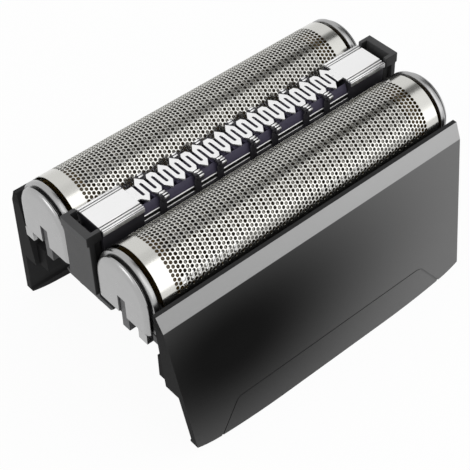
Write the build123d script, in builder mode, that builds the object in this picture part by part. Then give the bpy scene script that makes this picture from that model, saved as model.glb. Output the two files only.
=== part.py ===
"""Foil head for an electric shaver: two floating foil cutters with a trimmer between them.

X runs along the foils, Y from the front panel to the rear one and Z up.
The origin lies under the middle of the head, on the surface that it stands on.
All lengths are in millimetres.
"""
from build123d import *
import os
from math import cos, radians, sin

# Running gap between pieces that slide past each other
running_gap = 0.3

# Trimmer in the middle of the head
trimmer_overhang = 0.4
trimmer_base_width = 4.9
trimmer_waist_width = 5.3
trimmer_top_width = 5.8
trimmer_depth = 5.2
comb_neck = 1.875
comb_sheet = 0.35
strand_count = 35
strand_pitch = 1.025
strand_width = 0.56
strand_reach = 1.45
tip_reach = 2.3
tip_blunt = 0.16
tip_wall = 0.5
neck_width = 3.2
plate_flat_width = 3.8
plate_lip = 0.12
plate_lip_height = 0.9
plate_step = 0.15
plate_rib_width = 0.22
plate_rib_height = 0.1
plate_rib_places = (2.25, 2.72)
connector_width = 0.9
connector_wall = 0.2
connector_height = 1.1
front_connectors = (0, 3, 5, 8, 10, 13, 15)
rear_connectors = (1, 4, 6, 9, 11, 14, 16)
trough_depth = 3.4
post_spread = 0.3
side_rail_height = 1.1
side_rail_wall = 0.2
side_rail_groove = 0.1
side_rail_edge = 0.25
cutter_bar_width = 2.2
cutter_bar_reach = 1.7
cutter_bar_height = 2.35
cutter_tooth_width = 0.7
drive_arm_length = 5.0
drive_arm_width = 2.4
drive_arm_height = 6.5
drive_notch_width = 1.8
drive_notch_depth = 2.2
tongue_length = 1.2
tongue_width = 3.2
tongue_drop = 2.2
trimmer_stroke = 1.0

# Foils
foil_radius = 6.0
foil_wall = 0.25
foil_length = 51.8
foil_leg = 3.9
foil_flats = 11
foil_side_gap = 0.35
comb_below_foil = 0.3
plain_band = 3.2
hole_columns = 19
hole_rows = 5
hole_radius = 0.9
hole_cut_margin = 0.2

# End caps of the foils
cap_gap = 0.7
flange_inset = 0.05
flange_thickness = 0.9
flange_bevel = 0.25
cap_thickness = 1.93
cap_inset = 0.55
cap_groove_width = 0.35
cap_groove_inset = 1.1
cap_height = 4.1
cap_bevel = 0.6
notch_width = 1.66
notch_drop = 0.9
cap_leg_start = 3.3
cap_leg_width = 1.8
cap_leg_height = 1.75

# Foil frames, which carry the foils and the caps
frame_wall = 0.8
frame_height = 4.0
end_bar_length = 2.8
post_width = 1.5
post_depth = 1.6
post_height = 6.1
post_top_gap = 0.05
clip_length = 4.0
clip_wall = 0.6
clip_catch = 0.4
clip_head = 1.0
clip_play = 0.05

# Cutters inside the foils
lamella_count = 12
lamella_thickness = 0.5
lamella_band = 0.95
lamella_margin = 1.1
deck_height = 1.2
deck_rail = 1.15
end_block_length = 3.2
end_block_inset = 0.25
end_arch_radius = 3.0
beam_width = 4.4
stem_length = 12.0
stem_height = 7.2
stem_round = 0.8
socket_radius = 1.25
socket_depth = 3.5
cutter_stroke = 1.2

# Side panels
panel_height = 26.4
panel_end_inset = 0.23
panel_end_taper = 1.7
panel_gap = 0.52
panel_edge = 0.7
band_height = 2.45
band_reach = 1.14
panel_flare = 3.82
panel_wall = 1.2
skirt_height = 10.8
rim_height = 1.9
rim_depth = 0.35
edge_flat_length = 20.0
edge_knee_inset = 4.05
edge_knee_rise = 0.65
edge_corner_rise = 1.55
pocket_count = 6
pocket_rib = 1.3
pocket_end_wall = 5.0
pocket_top_wall = 3.3
hook_depth = 2.2
hook_seat = 1.3
line_inset = 8.2
line_height = 5.5
line_spread = 4.4
line_width = 0.25
line_depth = 0.1
line_round = 1.5

# Cassette frame
axis_drop = 1.1
foil_travel = 2.0
foil_spring_height = 3.2
ring_height = 1.5
ring_side = 0.9
cross_rib_inset = 0.4
cross_rib_length = 2.7
spine_wall = 0.8
spine_rise = 0.4
bridge_length = 7.0
bridge_height = 1.2
trimmer_spring_height = 2.0
bracket_slot = 1.5
bracket_wall = 0.9
bracket_width = 5.9
bracket_rise = 0.4
bracket_depth = 5.1
bracket_lip = 0.3
bracket_lip_height = 1.7
horn_width = 0.65
foot_width = 10.6
foot_height = 0.9
foot_corner = 0.6

# Leaf springs
leaf_wall = 0.2
leaf_foot = 0.9
leaf_seat = 1.6
leaf_gap = 0.05
foil_leaf_length = 7.0
foil_leaf_width = 1.4
trimmer_leaf_length = 5.0
trimmer_leaf_width = 1.6

# Places that follow from the sizes above
foil_end = foil_length / 2
trimmer_end = foil_end + trimmer_overhang
comb_end = (strand_count - 1) / 2 * strand_pitch + comb_neck
base_y = trimmer_base_width / 2
axis_y = base_y + foil_side_gap + foil_radius
axis_z = panel_height - axis_drop
comb_top = axis_z + foil_radius - comb_below_foil
comb_bottom = comb_top - comb_sheet
trough_floor = comb_top - trough_depth
housing_bottom = comb_top - trimmer_depth
cutter_bar_top = comb_bottom - running_gap
cutter_bar_bottom = cutter_bar_top - cutter_bar_height
cutter_bar_end = comb_end - trimmer_stroke - running_gap
post_y = trimmer_waist_width / 2 - connector_wall
flat_angle = radians(180 / foil_flats)
foil_inner = foil_radius - foil_wall
blade_radius = foil_inner - running_gap / cos(flat_angle / 2)
cap_in = foil_end + cap_gap
cap_out = cap_in + cap_thickness
carrier_end = cap_in - cutter_stroke - running_gap
lamella_end = carrier_end - end_block_length - lamella_margin
frame_top = axis_z - deck_height - running_gap
frame_bottom = frame_top - frame_height
ring_top = frame_bottom - foil_spring_height
ring_bottom = ring_top - ring_height
cross_rib_end = foil_end - cross_rib_inset
cross_rib_start = cross_rib_end - cross_rib_length
bridge_top = housing_bottom - trimmer_spring_height
bridge_start = trimmer_end - bridge_length
bracket_in = trimmer_end + bracket_slot
bracket_out = bracket_in + bracket_wall
bracket_top = comb_top + bracket_rise
bracket_bottom = axis_z - bracket_depth
lip_bottom = bracket_top - bracket_lip_height
guide_y = tongue_width / 2 + running_gap
horn_y = bracket_width / 2 - horn_width
foot_in = cap_in + running_gap
foot_top = axis_z - cap_height - foil_travel - running_gap
foot_bottom = foot_top - foot_height
panel_in = axis_y + foil_radius + panel_gap
band_bottom = panel_height - band_height
band_y = panel_in + panel_edge + band_reach
window_out = panel_in - ring_side
panel_top_end = cap_out - panel_end_inset
panel_bottom_end = panel_top_end - panel_end_taper
line_end = panel_bottom_end - line_inset


def block(x_span, y_span, z_span, mode=Mode.ADD):
    """Fill three spans with a box, in the part that is being built."""
    spans = (x_span, y_span, z_span)
    with Locations(tuple(sum(span) / 2 for span in spans)):
        Box(*(abs(span[1] - span[0]) for span in spans), mode=mode)


def axis_plane(side, x):
    """Plane across a foil's axis at x, with its first direction along Y and its second up."""
    return Plane(origin=(x, side * axis_y, axis_z), x_dir=(0, 1, 0), z_dir=(1, 0, 0))


def arch(radius):
    """Corners of an arch of narrow flats about a foil's axis, as (y, z) from it."""
    angles = [turn * flat_angle for turn in range(foil_flats + 1)]
    return [(radius * cos(angle), radius * sin(angle)) for angle in angles]


def face_y(z):
    """Distance of a panel's outer face from the middle of the head, at height z."""
    return band_y + panel_flare * (band_bottom - z) / band_bottom


def make_panel(side):
    """Side panel: bevel, leaning face with a fine line, ribbed back, thin skirt, two snap hooks."""
    section = [
        (panel_in, panel_height),
        (panel_in + panel_edge, panel_height),
        (band_y, band_bottom),
        (face_y(0), 0),
        (face_y(0) - panel_wall - rim_depth, 0),
        (face_y(rim_height) - panel_wall - rim_depth, rim_height),
        (face_y(rim_height + rim_depth) - panel_wall, rim_height + rim_depth),
        (face_y(skirt_height) - panel_wall, skirt_height),
        (panel_in, skirt_height),
    ]
    pocket_low = skirt_height + pocket_rib
    pocket_high = panel_height - pocket_top_wall
    pocket_section = [
        (panel_in, pocket_low),
        (face_y(pocket_low) - panel_wall, pocket_low),
        (face_y(pocket_high) - panel_wall, pocket_high),
        (panel_in, pocket_high),
    ]
    pocket_reach = panel_bottom_end - pocket_end_wall
    pocket_pitch = (2 * pocket_reach + pocket_rib) / pocket_count
    pocket_starts = [
        Plane.YZ.offset(index * pocket_pitch - pocket_reach)
        for index in range(pocket_count)
    ]
    face_plane = Plane(
        origin=(0, side * face_y(0), 0),
        x_dir=(-side, 0, 0),
        z_dir=(0, side * band_bottom, panel_flare),
    )
    with BuildPart() as panel:
        with BuildSketch(Plane.YZ):
            with BuildLine():
                Polyline([(side * y, z) for y, z in section], close=True)
            make_face()
        extrude(amount=panel_top_end, both=True)
        with BuildSketch(Plane.XZ):
            with BuildLine():
                level = Line((0, 0), (edge_flat_length / 2, 0))
                knee = TangentArc(
                    level @ 1,
                    (panel_bottom_end - edge_knee_inset, edge_knee_rise),
                    tangent=level % 1,
                )
                corner = TangentArc(
                    knee @ 1, (panel_bottom_end, edge_corner_rise), tangent=knee % 1
                )
                Polyline(corner @ 1, (panel_top_end, panel_height), (0, panel_height), (0, 0))
            make_face()
            mirror(about=Plane.YZ)
        extrude(amount=2 * face_y(0), both=True, mode=Mode.INTERSECT)
        with BuildSketch(*pocket_starts):
            with BuildLine():
                Polyline([(side * y, z) for y, z in pocket_section], close=True)
            make_face()
        extrude(amount=pocket_pitch - pocket_rib, mode=Mode.SUBTRACT)
        for end in (-1, 1):
            block(
                (end * (cross_rib_end - hook_seat), end * panel_bottom_end),
                (side * (panel_in - hook_depth), side * (panel_in + panel_edge)),
                (skirt_height, ring_bottom),
            )
        with BuildSketch(face_plane):
            with BuildLine():
                FilletPolyline(
                    (-line_end - line_spread, -line_width),
                    (-line_end, line_height),
                    (line_end, line_height),
                    (line_end + line_spread, -line_width),
                    radius=line_round,
                )
            trace(line_width=line_width)
        extrude(amount=-line_depth, mode=Mode.SUBTRACT)
    return panel.part


def make_foil(side):
    """Shaving foil: a thin arch with straight legs. Each row of holes lies on its own narrow flat."""
    field_end = foil_end - plain_band
    column_pitch = 2 * field_end / (hole_columns - 1)
    cut_start = foil_inner * cos(flat_angle / 2) - hole_cut_margin
    hole_planes = []
    for column in range(hole_columns):
        row_count = hole_rows - column % 2
        for row in range(row_count):
            angle = (2 * row - row_count + 1) * flat_angle
            outwards = (0, sin(angle), cos(angle))
            start = (
                column * column_pitch - field_end,
                side * axis_y + cut_start * sin(angle),
                axis_z + cut_start * cos(angle),
            )
            hole_planes.append(Plane(origin=start, x_dir=(1, 0, 0), z_dir=outwards))
    with BuildPart() as foil:
        with BuildSketch(axis_plane(side, -foil_end)):
            with BuildLine():
                Polyline(
                    (foil_radius, -foil_leg),
                    *arch(foil_radius),
                    (-foil_radius, -foil_leg),
                    (-foil_inner, -foil_leg),
                    *reversed(arch(foil_inner)),
                    (foil_inner, -foil_leg),
                    close=True,
                )
            make_face()
        extrude(amount=foil_length)
        with BuildSketch(*hole_planes):
            RegularPolygon(hole_radius, 6)
        extrude(amount=foil_wall + 2 * hole_cut_margin, mode=Mode.SUBTRACT)
    return foil.part


def make_cap(side, end):
    """End cap of a foil: a tombstone plate with a bevelled rim, a groove, a flange, a notch, a leg."""
    step_x = cap_in + flange_thickness
    face_x = step_x + cap_groove_width
    with BuildPart() as cap:
        for inset, start, thickness, bevel in (
            (flange_inset, cap_in, flange_thickness, flange_bevel),
            (cap_groove_inset, step_x, cap_groove_width, 0),
            (cap_inset, face_x, cap_out - face_x, cap_bevel),
        ):
            radius = foil_radius - inset
            with BuildSketch(axis_plane(side, end * start)):
                with BuildLine():
                    Polyline((radius, 0), (radius, -cap_height), (-radius, -cap_height), (-radius, 0))
                    ThreePointArc((-radius, 0), (0, radius), (radius, 0))
                make_face()
            extrude(amount=end * thickness)
            if bevel:
                outer_face = cap.faces().sort_by(Axis.X)[0 if end < 0 else -1]
                chamfer(outer_face.edges().sort_by(Axis.Z)[1:], bevel)
        leg_y = side * (axis_y + cap_leg_start)
        block(
            (end * cap_in, end * cap_out),
            (leg_y, leg_y + side * cap_leg_width),
            (axis_z - cap_height - cap_leg_height, axis_z - cap_height),
        )
        block(
            (end * cap_in, end * cap_out),
            (side * axis_y - notch_width / 2, side * axis_y + notch_width / 2),
            (axis_z - cap_height, axis_z - notch_drop),
            mode=Mode.SUBTRACT,
        )
    return cap.part


def make_foil_frame(side):
    """Carrier of one foil: a rectangular ring with a ledge, two guide posts and two snap clips."""
    y = side * axis_y
    post_top = axis_z - notch_drop - post_top_gap
    with BuildPart() as frame:
        block((-cap_in, cap_in), (y - foil_inner, y + foil_inner), (frame_bottom, frame_top))
        block(
            (-foil_end, foil_end),
            (y - foil_radius, y + foil_radius),
            (frame_bottom, axis_z - foil_leg),
        )
        block(
            (end_bar_length - cap_in, cap_in - end_bar_length),
            (y - foil_inner + frame_wall, y + foil_inner - frame_wall),
            (frame_bottom, frame_top),
            mode=Mode.SUBTRACT,
        )
        for end in (-1, 1):
            block(
                (end * cap_in, end * (cap_in + post_depth)),
                (y - post_width / 2, y + post_width / 2),
                (post_top - post_height, post_top),
            )
        for edge, outwards in ((base_y, -1), (window_out, 1)):
            clip_face = edge - outwards * running_gap
            block(
                (-clip_length / 2, clip_length / 2),
                (side * clip_face, side * (clip_face - outwards * clip_wall)),
                (ring_bottom - clip_head, frame_bottom),
            )
            block(
                (-clip_length / 2, clip_length / 2),
                (side * clip_face, side * (edge + outwards * clip_catch)),
                (ring_bottom - clip_head, ring_bottom - clip_play),
            )
    return frame.part


def make_cutter_blades(side):
    """Row of arched lamellae that stand on the cutter's deck and scrape along the foil."""
    pitch = (2 * lamella_end - lamella_thickness) / (lamella_count - 1)
    starts = [index * pitch - lamella_end for index in range(lamella_count)]
    with BuildPart() as blades:
        with BuildSketch(*[axis_plane(side, x) for x in starts]):
            with BuildLine():
                Polyline(
                    *arch(blade_radius), *reversed(arch(blade_radius - lamella_band)), close=True
                )
            make_face()
        extrude(amount=lamella_thickness)
    return blades.part


def make_cutter_carrier(side):
    """Carrier of the lamellae: an open deck with arched end blocks and a stem with a drive socket."""
    y = side * axis_y
    deck_bottom = axis_z - deck_height
    with BuildPart() as carrier:
        block(
            (-carrier_end, carrier_end),
            (y - blade_radius, y + blade_radius),
            (deck_bottom, axis_z),
        )
        window_end = carrier_end - end_block_length
        for edge in (-1, 1):
            block(
                (-window_end, window_end),
                (y + edge * beam_width / 2, y + edge * (blade_radius - deck_rail)),
                (deck_bottom, axis_z),
                mode=Mode.SUBTRACT,
            )
        with BuildSketch(
            axis_plane(side, -carrier_end),
            axis_plane(side, window_end),
        ):
            with BuildLine():
                Polyline(
                    *arch(blade_radius - end_block_inset),
                    *reversed(arch(end_arch_radius)),
                    close=True,
                )
            make_face()
        extrude(amount=end_block_length)
        with BuildSketch(Plane.XY.offset(deck_bottom)):
            with Locations((0, y)):
                RectangleRounded(stem_length, beam_width, stem_round)
        extrude(amount=-stem_height)
        with Locations((0, y, deck_bottom - stem_height)):
            Cylinder(
                socket_radius,
                socket_depth,
                align=(Align.CENTER, Align.CENTER, Align.MIN),
                mode=Mode.SUBTRACT,
            )
    return carrier.part


def strand_x(index):
    """Place along X of one strand of the trimmer's comb."""
    return (index - (strand_count - 1) / 2) * strand_pitch


def connector_places():
    """Every place where the comb is tied to the housing, as (x, side)."""
    places = [((strand_x(2 * turn + 1) + strand_x(2 * turn + 2)) / 2, -1) for turn in front_connectors]
    places += [((strand_x(2 * turn) + strand_x(2 * turn + 1)) / 2, 1) for turn in rear_connectors]
    return places


def make_trimmer_comb():
    """Stamped trimmer comb: a serpentine of strands between two ribbed end plates."""
    half = strand_width / 2
    turns = [(strand_x(index), strand_x(index + 1), 1 - 2 * (index % 2)) for index in range(strand_count - 1)]
    with BuildPart() as comb:
        with BuildSketch(Plane.XY.offset(comb_bottom)):
            with Locations([(strand_x(index), 0) for index in range(strand_count)]):
                Rectangle(strand_width, 2 * strand_reach)
            for first, second, side in turns:
                middle = (first + second) / 2
                with BuildLine():
                    Polyline(
                        (first - half, side * strand_reach),
                        (middle - tip_blunt, side * tip_reach),
                        (middle + tip_blunt, side * tip_reach),
                        (second + half, side * strand_reach),
                        (second - half, side * strand_reach),
                        (middle, side * (tip_reach - tip_wall)),
                        (first + half, side * strand_reach),
                        close=True,
                    )
                make_face()
            neck_end = strand_x(strand_count - 1)
            for end in (-1, 1):
                with Locations((end * (comb_end + neck_end) / 2, 0)):
                    Rectangle(comb_end - neck_end, neck_width)
                with Locations((end * (comb_end + trimmer_end) / 2, 0)):
                    Rectangle(trimmer_end - comb_end, plate_flat_width)
            for x, side in connector_places():
                tab_in = tip_reach - tip_wall / 2
                tab_out = trimmer_waist_width / 2
                with Locations((x, side * (tab_in + tab_out) / 2)):
                    Rectangle(connector_width, tab_out - tab_in)
        extrude(amount=comb_sheet)
        for x, side in connector_places():
            block(
                (x - connector_width / 2, x + connector_width / 2),
                (side * post_y, side * trimmer_waist_width / 2),
                (comb_top - connector_height, comb_bottom),
            )
        lip_y = trimmer_top_width / 2 + plate_lip
        shoulder_top = comb_top - plate_step
        for end in (-1, 1):
            plate_span = (end * comb_end, end * trimmer_end)
            block(plate_span, (-lip_y, lip_y), (comb_bottom, shoulder_top))
            for side in (-1, 1):
                block(
                    plate_span,
                    (side * trimmer_top_width / 2, side * lip_y),
                    (comb_top - plate_lip_height, shoulder_top),
                )
                for rib_y in plate_rib_places:
                    block(
                        plate_span,
                        (side * (rib_y - plate_rib_width / 2), side * (rib_y + plate_rib_width / 2)),
                        (shoulder_top, shoulder_top + plate_rib_height),
                    )
    return comb.part


def make_trimmer_housing():
    """Trimmer housing: a tapered bar with a trough, two end blocks, posts and guide tongues."""
    waist_y = trimmer_waist_width / 2
    end_section = [
        (-waist_y, trough_floor),
        (waist_y, trough_floor),
        (trimmer_top_width / 2, comb_bottom),
        (-trimmer_top_width / 2, comb_bottom),
    ]
    base_section = [
        (-base_y, housing_bottom),
        (base_y, housing_bottom),
        (waist_y, trough_floor),
        (-waist_y, trough_floor),
    ]
    with BuildPart() as housing:
        with BuildSketch(Plane.YZ.offset(-trimmer_end)):
            with BuildLine():
                Polyline(base_section, close=True)
            make_face()
        extrude(amount=2 * trimmer_end)
        with BuildSketch(Plane.YZ.offset(-trimmer_end), Plane.YZ.offset(comb_end)):
            with BuildLine():
                Polyline(end_section, close=True)
            make_face()
        extrude(amount=trimmer_end - comb_end)
        for x, side in connector_places():
            post_half = connector_width / 2 + post_spread / 2
            block(
                (x - post_half, x + post_half),
                (side * post_y, side * waist_y),
                (trough_floor, comb_top - connector_height),
            )
        for end in (-1, 1):
            block(
                (end * trimmer_end, end * (trimmer_end + tongue_length)),
                (-tongue_width / 2, tongue_width / 2),
                (housing_bottom, comb_top - tongue_drop),
            )
        slot_x = drive_arm_length / 2 + trimmer_stroke + running_gap
        slot_y = drive_arm_width / 2 + running_gap
        block((-slot_x, slot_x), (-slot_y, slot_y), (housing_bottom, trough_floor), mode=Mode.SUBTRACT)
    return housing.part


def make_side_rail(side):
    """Bright guard strip that stands on the trough's edge behind the posts, with a groove."""
    low = trough_floor
    high = trough_floor + side_rail_height
    with BuildPart() as rail:
        block(
            (-comb_end, comb_end),
            (side * (post_y - side_rail_wall), side * post_y),
            (low, high),
        )
        block(
            (-comb_end, comb_end),
            (side * (post_y - side_rail_groove), side * post_y),
            (low + side_rail_edge, high - side_rail_edge),
            mode=Mode.SUBTRACT,
        )
    return rail.part


def make_trimmer_blade():
    """Moving blade of the trimmer: a bar with teeth on both sides, which slides under the comb."""
    tooth_pitch = 2 * strand_pitch
    tooth_count = strand_count // 2
    with BuildPart() as blade:
        with BuildSketch(Plane.XY.offset(cutter_bar_bottom)):
            Rectangle(2 * cutter_bar_end, cutter_bar_width)
            with GridLocations(tooth_pitch, 0, tooth_count, 1):
                Rectangle(cutter_tooth_width, 2 * cutter_bar_reach)
        extrude(amount=cutter_bar_height)
    return blade.part


def make_drive_arm():
    """Arm under the trimmer's blade, with the notch that the shaver's drive pin moves."""
    arm_bottom = cutter_bar_bottom - drive_arm_height
    with BuildPart() as arm:
        block(
            (-drive_arm_length / 2, drive_arm_length / 2),
            (-drive_arm_width / 2, drive_arm_width / 2),
            (arm_bottom, cutter_bar_bottom),
        )
        block(
            (-drive_notch_width / 2, drive_notch_width / 2),
            (-drive_arm_width / 2, drive_arm_width / 2),
            (arm_bottom, arm_bottom + drive_notch_depth),
            mode=Mode.SUBTRACT,
        )
    return arm.part


def make_cassette_frame():
    """Moulded frame: a flat ring, a hollow spine under the trimmer, a footed bracket at each end."""
    spine_top = bridge_top + spine_rise
    channel_y = base_y - spine_wall
    with BuildPart() as frame:
        with BuildSketch(Plane.XZ):
            with BuildLine():
                Polyline(
                    (0, ring_bottom),
                    (cross_rib_end, ring_bottom),
                    (bracket_in, foot_bottom),
                    (bracket_in, spine_top),
                    (0, spine_top),
                    close=True,
                )
            make_face()
            mirror(about=Plane.YZ)
        extrude(amount=base_y, both=True)
        block((-bracket_in, bracket_in), (-channel_y, channel_y), (ring_bottom, spine_top), Mode.SUBTRACT)
        for end in (-1, 1):
            block(
                (end * cross_rib_start, end * cross_rib_end),
                (-panel_in, panel_in),
                (ring_bottom, ring_top),
            )
            block(
                (end * bridge_start, end * bracket_in),
                (-channel_y, channel_y),
                (bridge_top - bridge_height, bridge_top),
            )
            block(
                (end * bracket_in, end * bracket_out),
                (-bracket_width / 2, bracket_width / 2),
                (bracket_bottom, bracket_top),
            )
            block(
                (end * bracket_out, end * (bracket_out + bracket_lip)),
                (-bracket_width / 2, bracket_width / 2),
                (lip_bottom, bracket_top),
            )
            block(
                (end * foot_in, end * bracket_in),
                (-base_y, base_y),
                (foot_top, bracket_bottom + bracket_wall),
            )
            foot_y = foot_width / 2
            with BuildSketch(Plane.YZ.offset(end * foot_in)):
                with BuildLine():
                    Polyline(
                        (-foot_y, foot_top),
                        (-foot_y, foot_bottom + foot_corner),
                        (foot_corner - foot_y, foot_bottom),
                        (foot_y - foot_corner, foot_bottom),
                        (foot_y, foot_bottom + foot_corner),
                        (foot_y, foot_top),
                        close=True,
                    )
                make_face()
            extrude(amount=end * (bracket_in - foot_in))
            for side in (-1, 1):
                horn_in = trimmer_end + running_gap
                block(
                    (end * horn_in, end * bracket_in),
                    (side * horn_y, side * bracket_width / 2),
                    (lip_bottom, bracket_top),
                )
                block(
                    (end * horn_in, end * bracket_in),
                    (side * guide_y, side * base_y),
                    (bridge_top, lip_bottom),
                )
        for side in (-1, 1):
            block(
                (-cross_rib_end, cross_rib_end),
                (side * window_out, side * panel_in),
                (ring_bottom, ring_top),
            )
    return frame.part


def leaf_outline(length, height):
    """Outline of a bent leaf spring, as points: two feet, two sloping legs and a seat on top."""
    upper = [
        (-length / 2, 0),
        (-length / 2, leaf_wall),
        (leaf_foot - length / 2, leaf_wall),
        (-leaf_seat / 2, height),
    ]
    lower = [
        (leaf_foot - length / 2 + leaf_wall, 0),
        (leaf_wall - leaf_seat / 2, height - leaf_wall),
    ]
    return (
        upper
        + [(-u, v) for u, v in reversed(upper)]
        + [(-u, v) for u, v in lower]
        + list(reversed(lower))
    )


def make_foil_spring(side, end):
    """Leaf spring on the cross rib, which pushes one end of a foil unit up."""
    inner_x = cross_rib_end - leaf_wall - foil_leaf_width
    start = inner_x if end > 0 else -inner_x - foil_leaf_width
    origin = (start, side * axis_y, ring_top)
    with BuildPart() as spring:
        with BuildSketch(Plane(origin=origin, x_dir=(0, 1, 0), z_dir=(1, 0, 0))):
            with BuildLine():
                Polyline(leaf_outline(foil_leaf_length, foil_spring_height - leaf_gap), close=True)
            make_face()
        extrude(amount=foil_leaf_width)
    return spring.part


def make_trimmer_spring(end):
    """Leaf spring on the spine's bridge, which pushes one end of the trimmer up."""
    middle_x = end * (bridge_start + trimmer_end) / 2
    origin = (middle_x, trimmer_leaf_width / 2, bridge_top)
    with BuildPart() as spring:
        with BuildSketch(Plane(origin=origin, x_dir=(1, 0, 0), z_dir=(0, -1, 0))):
            with BuildLine():
                Polyline(
                    leaf_outline(trimmer_leaf_length, trimmer_spring_height - leaf_gap), close=True
                )
            make_face()
        extrude(amount=trimmer_leaf_width)
    return spring.part


pieces = {
    "cassette_frame": make_cassette_frame(),
    "trimmer_comb": make_trimmer_comb(),
    "trimmer_housing": make_trimmer_housing(),
    "trimmer_blade": make_trimmer_blade(),
    "trimmer_drive_arm": make_drive_arm(),
}
for side_name, side in (("front", -1), ("rear", 1)):
    pieces[f"{side_name}_panel"] = make_panel(side)
    pieces[f"{side_name}_foil"] = make_foil(side)
    pieces[f"{side_name}_foil_frame"] = make_foil_frame(side)
    pieces[f"{side_name}_cutter_blades"] = make_cutter_blades(side)
    pieces[f"{side_name}_cutter_carrier"] = make_cutter_carrier(side)
    pieces[f"trimmer_{side_name}_rail"] = make_side_rail(side)
    for end_name, end in (("left", -1), ("right", 1)):
        pieces[f"{side_name}_{end_name}_cap"] = make_cap(side, end)
        pieces[f"{side_name}_{end_name}_spring"] = make_foil_spring(side, end)
for end_name, end in (("left", -1), ("right", 1)):
    pieces[f"trimmer_{end_name}_spring"] = make_trimmer_spring(end)

os.makedirs("parts", exist_ok=True)
for name, piece in pieces.items():
    piece.label = name
    export_step(piece, f"parts/{name}.step")
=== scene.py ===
"""Looks of the shaver foil head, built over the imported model."""
from math import cos, pi, radians, sin

import bmesh
import bpy
from bpy.props import FloatProperty, FloatVectorProperty, IntProperty, PointerProperty
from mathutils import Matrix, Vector


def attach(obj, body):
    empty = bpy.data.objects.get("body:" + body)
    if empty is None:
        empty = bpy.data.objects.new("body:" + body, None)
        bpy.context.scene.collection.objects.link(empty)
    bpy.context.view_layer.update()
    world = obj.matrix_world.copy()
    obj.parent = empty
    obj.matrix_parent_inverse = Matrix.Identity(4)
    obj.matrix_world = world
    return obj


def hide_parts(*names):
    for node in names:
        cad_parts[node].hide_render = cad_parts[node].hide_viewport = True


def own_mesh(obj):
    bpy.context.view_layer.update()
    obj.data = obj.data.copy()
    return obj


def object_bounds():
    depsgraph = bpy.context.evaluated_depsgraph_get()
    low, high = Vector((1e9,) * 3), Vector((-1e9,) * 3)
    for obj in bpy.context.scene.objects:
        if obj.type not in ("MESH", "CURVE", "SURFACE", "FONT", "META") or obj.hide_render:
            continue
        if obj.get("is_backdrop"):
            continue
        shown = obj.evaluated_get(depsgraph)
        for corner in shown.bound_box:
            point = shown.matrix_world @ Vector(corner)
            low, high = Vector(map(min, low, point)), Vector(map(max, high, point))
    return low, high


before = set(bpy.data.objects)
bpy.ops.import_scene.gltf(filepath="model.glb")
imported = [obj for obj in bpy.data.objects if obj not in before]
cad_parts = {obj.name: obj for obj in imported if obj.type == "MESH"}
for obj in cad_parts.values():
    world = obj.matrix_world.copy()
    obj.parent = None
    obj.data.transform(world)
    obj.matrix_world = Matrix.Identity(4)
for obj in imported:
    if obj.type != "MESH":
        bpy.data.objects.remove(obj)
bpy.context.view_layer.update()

bl_info = {
    "name": "Shaver Foil Head",
    "version": (1, 0, 0),
    "blender": (4, 5, 0),
    "location": "3D View > Sidebar > Shaver Head",
    "description": "Builds the looks of a shaver foil head over its packed frame",
    "category": "Object",
}

MM = 0.001

# Sides and ends by name, with their sign along Y and X
SIDES = (("front", -1), ("rear", 1))
ENDS = (("left", -1), ("right", 1))

# Distance at which doubled corners are welded, and the most corners that a face keeps before it is rounded
WELD = 2e-6
MOST_CORNERS = 8

# Axis of a foil's arch
AXIS_Y = 8.8 * MM
AXIS_Z = 25.3 * MM

# Comb: its strands, which of the turns on each side are tied to the trimmer's block, and the small step to
# the rear or the front that marks a turn's side
STRAND_PITCH = 1.025 * MM
STRANDS = 35
FRONT_TIES = (0, 3, 5, 8, 10, 13, 15)
REAR_TIES = (1, 4, 6, 9, 11, 14, 16)
SIDE_MARK = 5e-7

# Strips beside the comb: heights, width of a bright edge beside the painted shade, and distance from the
# middle
RAIL_LOW = 27.6 * MM
RAIL_HIGH = 28.7 * MM
RAIL_EDGE = 0.25 * MM
RAIL_Y = 2.33 * MM

# Leaf springs: row, joint, height of the feet in millimetres, share of the height left at the joint's limit
SPRINGS = (
    ("front", "front_foil_float", 16.6, 0.36),
    ("rear", "rear_foil_float", 16.6, 0.36),
    ("trimmer", "trimmer_float", 23.8, 0.38),
)

# Cover across the trimmer, as y outwards and z in millimetres
COVER_SECTION = ((1.80, 30.22), (1.86, 30.24), (2.12, 29.6), (2.30, 28.80), (2.22, 28.76), (2.04, 29.6))

# Half of an end plate across the trimmer, as y outwards and z in millimetres, and its grooves, painted dark
# as shade, as the distance from the middle and half the width of each
PLATE_SECTION = (
    (0.0, 31.0),
    (1.88, 31.0),
    (1.93, 30.96),
    (1.93, 30.74),
    (2.13, 30.74),
    (2.13, 30.92),
    (2.17, 30.95),
    (2.33, 30.95),
    (2.37, 30.92),
    (2.37, 30.74),
    (2.60, 30.74),
    (2.60, 30.92),
    (2.64, 30.95),
    (2.78, 30.95),
    (2.83, 30.92),
    (2.83, 30.80),
    (2.91, 30.80),
    (2.94, 30.85),
    (3.02, 30.80),
    (3.02, 30.10),
    (2.90, 30.10),
    (2.90, 30.65),
    (0.0, 30.65),
)
PLATE_GROOVES = ((2.03, 0.10), (2.485, 0.11), (2.87, 0.04))

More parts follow.
